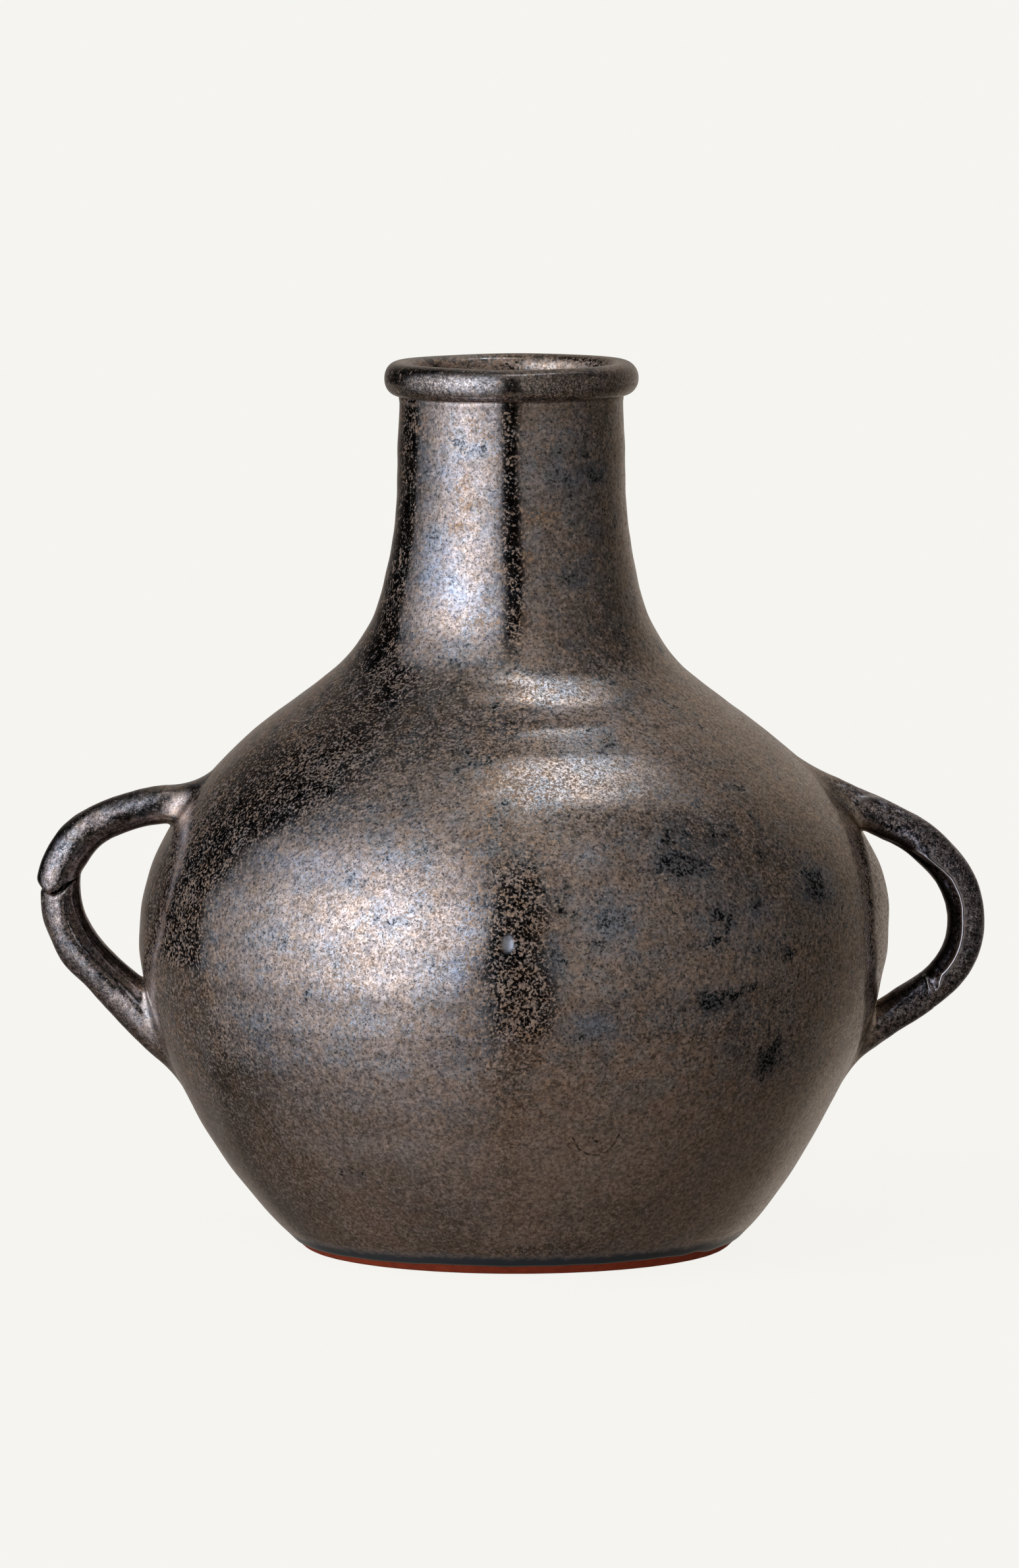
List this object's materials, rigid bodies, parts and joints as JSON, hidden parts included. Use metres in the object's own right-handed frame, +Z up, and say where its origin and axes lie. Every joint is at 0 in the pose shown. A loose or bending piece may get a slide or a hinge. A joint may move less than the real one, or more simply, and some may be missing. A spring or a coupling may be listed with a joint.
{
  "type": "two-handled jug",
  "caption": "Hand-built earthenware jug with a round belly, narrow neck, rolled lip and two small looped lug handles, for holding and pouring liquids.",
  "frame": {"origin": "middle of the foot, on the surface that the jug stands on", "axes": "+Z up along the jug's axis, +X through the two handles, +Y to the back"},
  "size_m": [0.267, 0.2114, 0.25],
  "materials": {
    "bare_clay": "unglazed red earthenware, with dark glaze running down to a wavy line just above the foot",
    "body_glaze": "dark bronze and gunmetal glaze, glossy and metallic, with fine tan matt crystals all over",
    "handle_glaze": "the same dark bronze glaze, smoother and darker on the coils"
  },
  "bodies": {
    "root": {"base_disc": "bare_clay", "lower_bowl": "body_glaze", "upper_dome": "body_glaze", "neck": "body_glaze", "rim_bead": "body_glaze", "left_handle_upper_coil": "handle_glaze", "left_handle_lower_coil": "handle_glaze", "right_handle_upper_coil": "handle_glaze", "right_handle_lower_coil": "handle_glaze"}
  },
  "joints": []
}
